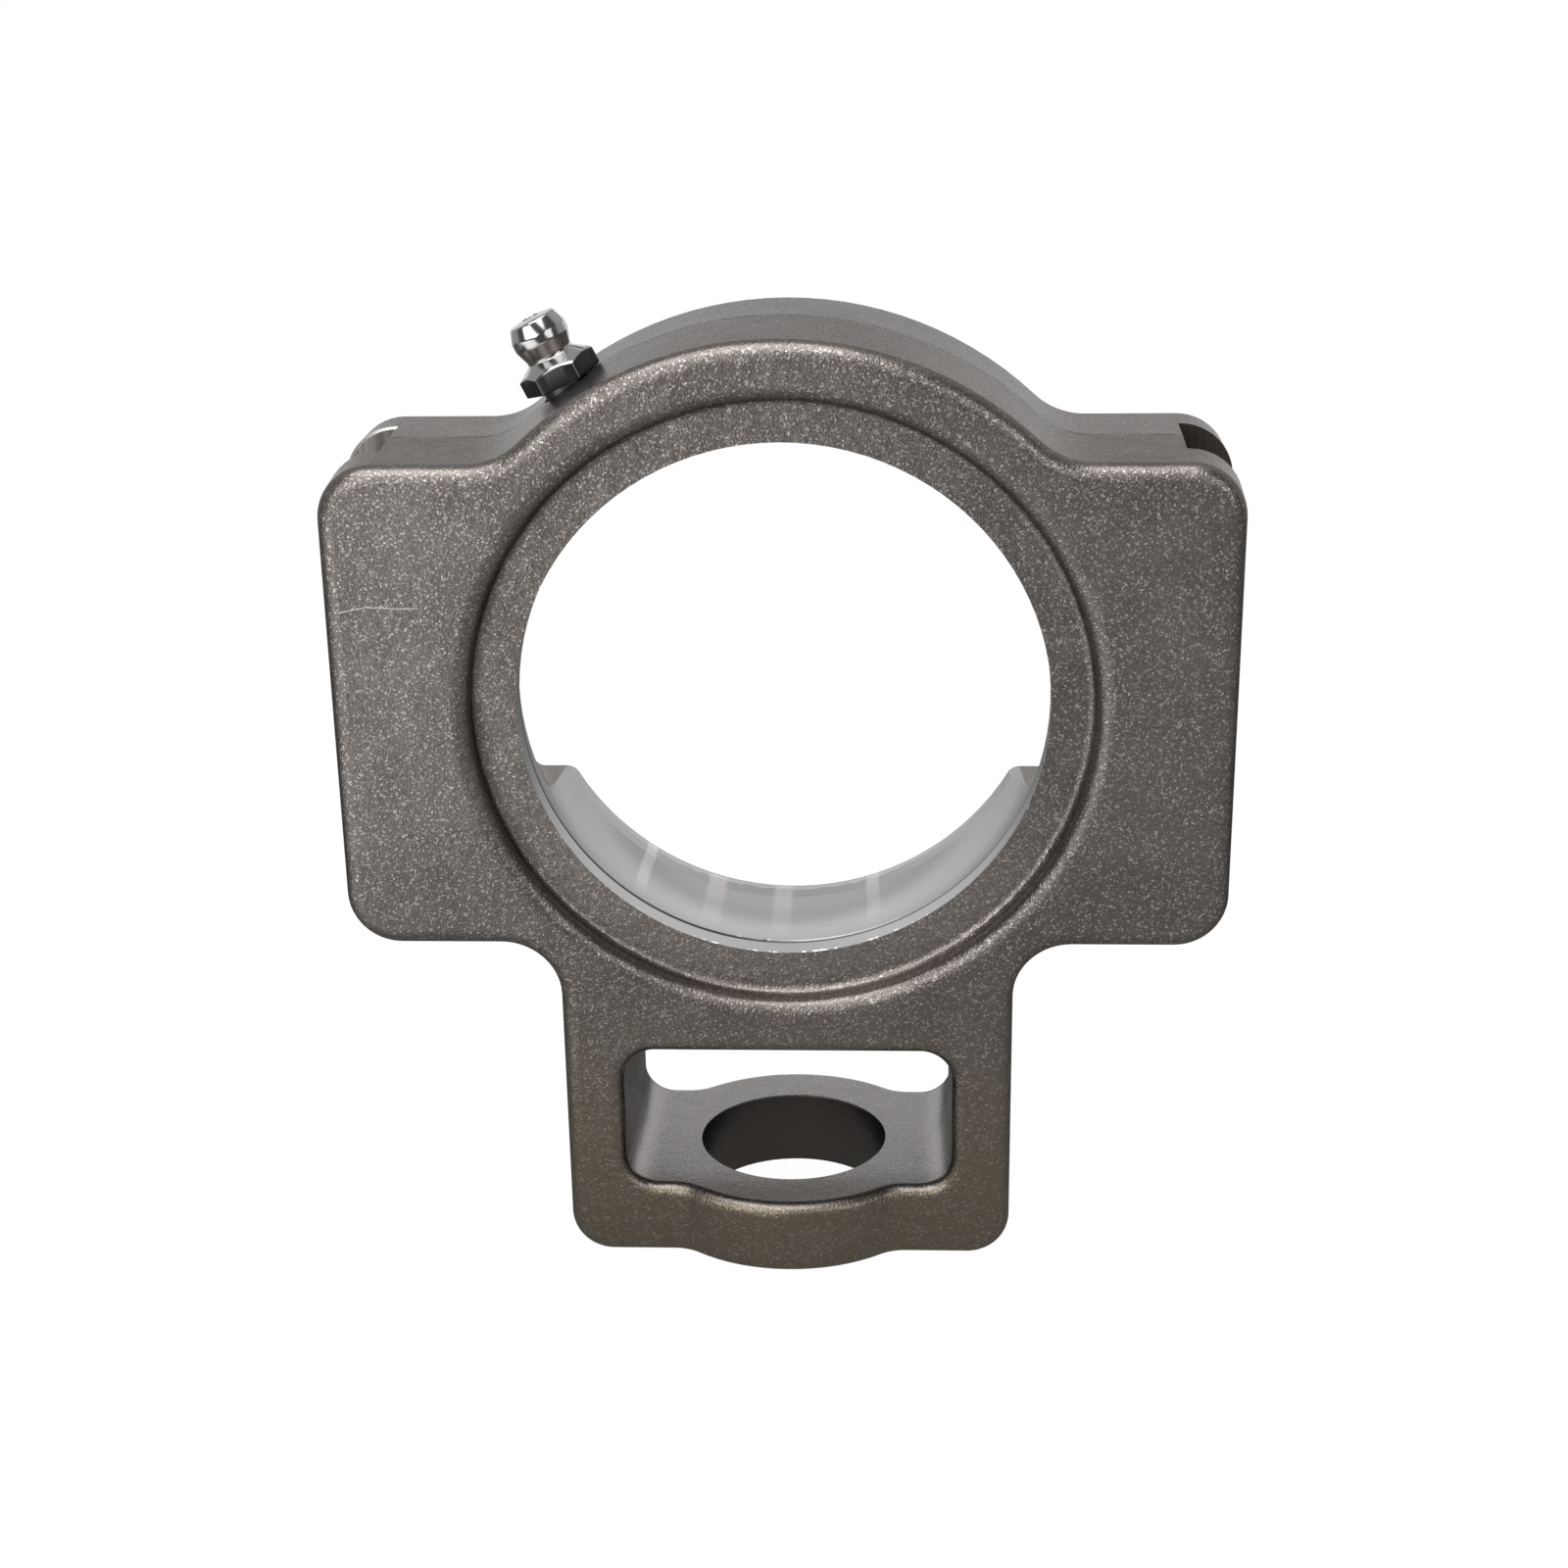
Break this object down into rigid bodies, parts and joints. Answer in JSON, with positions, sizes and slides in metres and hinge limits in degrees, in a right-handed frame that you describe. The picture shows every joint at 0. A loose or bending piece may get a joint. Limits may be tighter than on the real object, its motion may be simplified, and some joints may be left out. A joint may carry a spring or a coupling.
{
  "type": "take up bearing housing",
  "caption": "Cast T-shaped take up bearing housing with a spherical bearing seat, guide grooves on both wings, a windowed tail for an adjusting screw and a spring-ball grease nipple.",
  "frame": {"origin": "centre of the spherical bearing seat, on the bore's axis and the casting's middle plane", "axes": "+Y along the bore to the back, -Y to the pictured front, +Z away from the tail, X from one guide groove to the other"},
  "size_m": [0.1018, 0.037, 0.1115],
  "materials": {
    "cast_housing": "shot-blasted as-cast skin, with a turned bearing seat",
    "plated_nipple": "bright plated and turned, darker hexagon flats",
    "polished_ball": "polished",
    "spring_wire": "drawn wire"
  },
  "bodies": {
    "housing_body": {"housing": "cast_housing", "grease_nipple": "plated_nipple", "ball_spring": "spring_wire"},
    "ball_body": {"check_ball": "polished_ball"}
  },
  "joints": [
    {"name": "check_ball_slide", "type": "slide", "parent": "housing_body", "child": "ball_body", "axis": [0.4384, 0, -0.8988], "range_m": [0, 0.001], "stiffness_N_per_m": 400, "springref_m": -0.0015, "deforming": ["ball_spring"]}
  ]
}
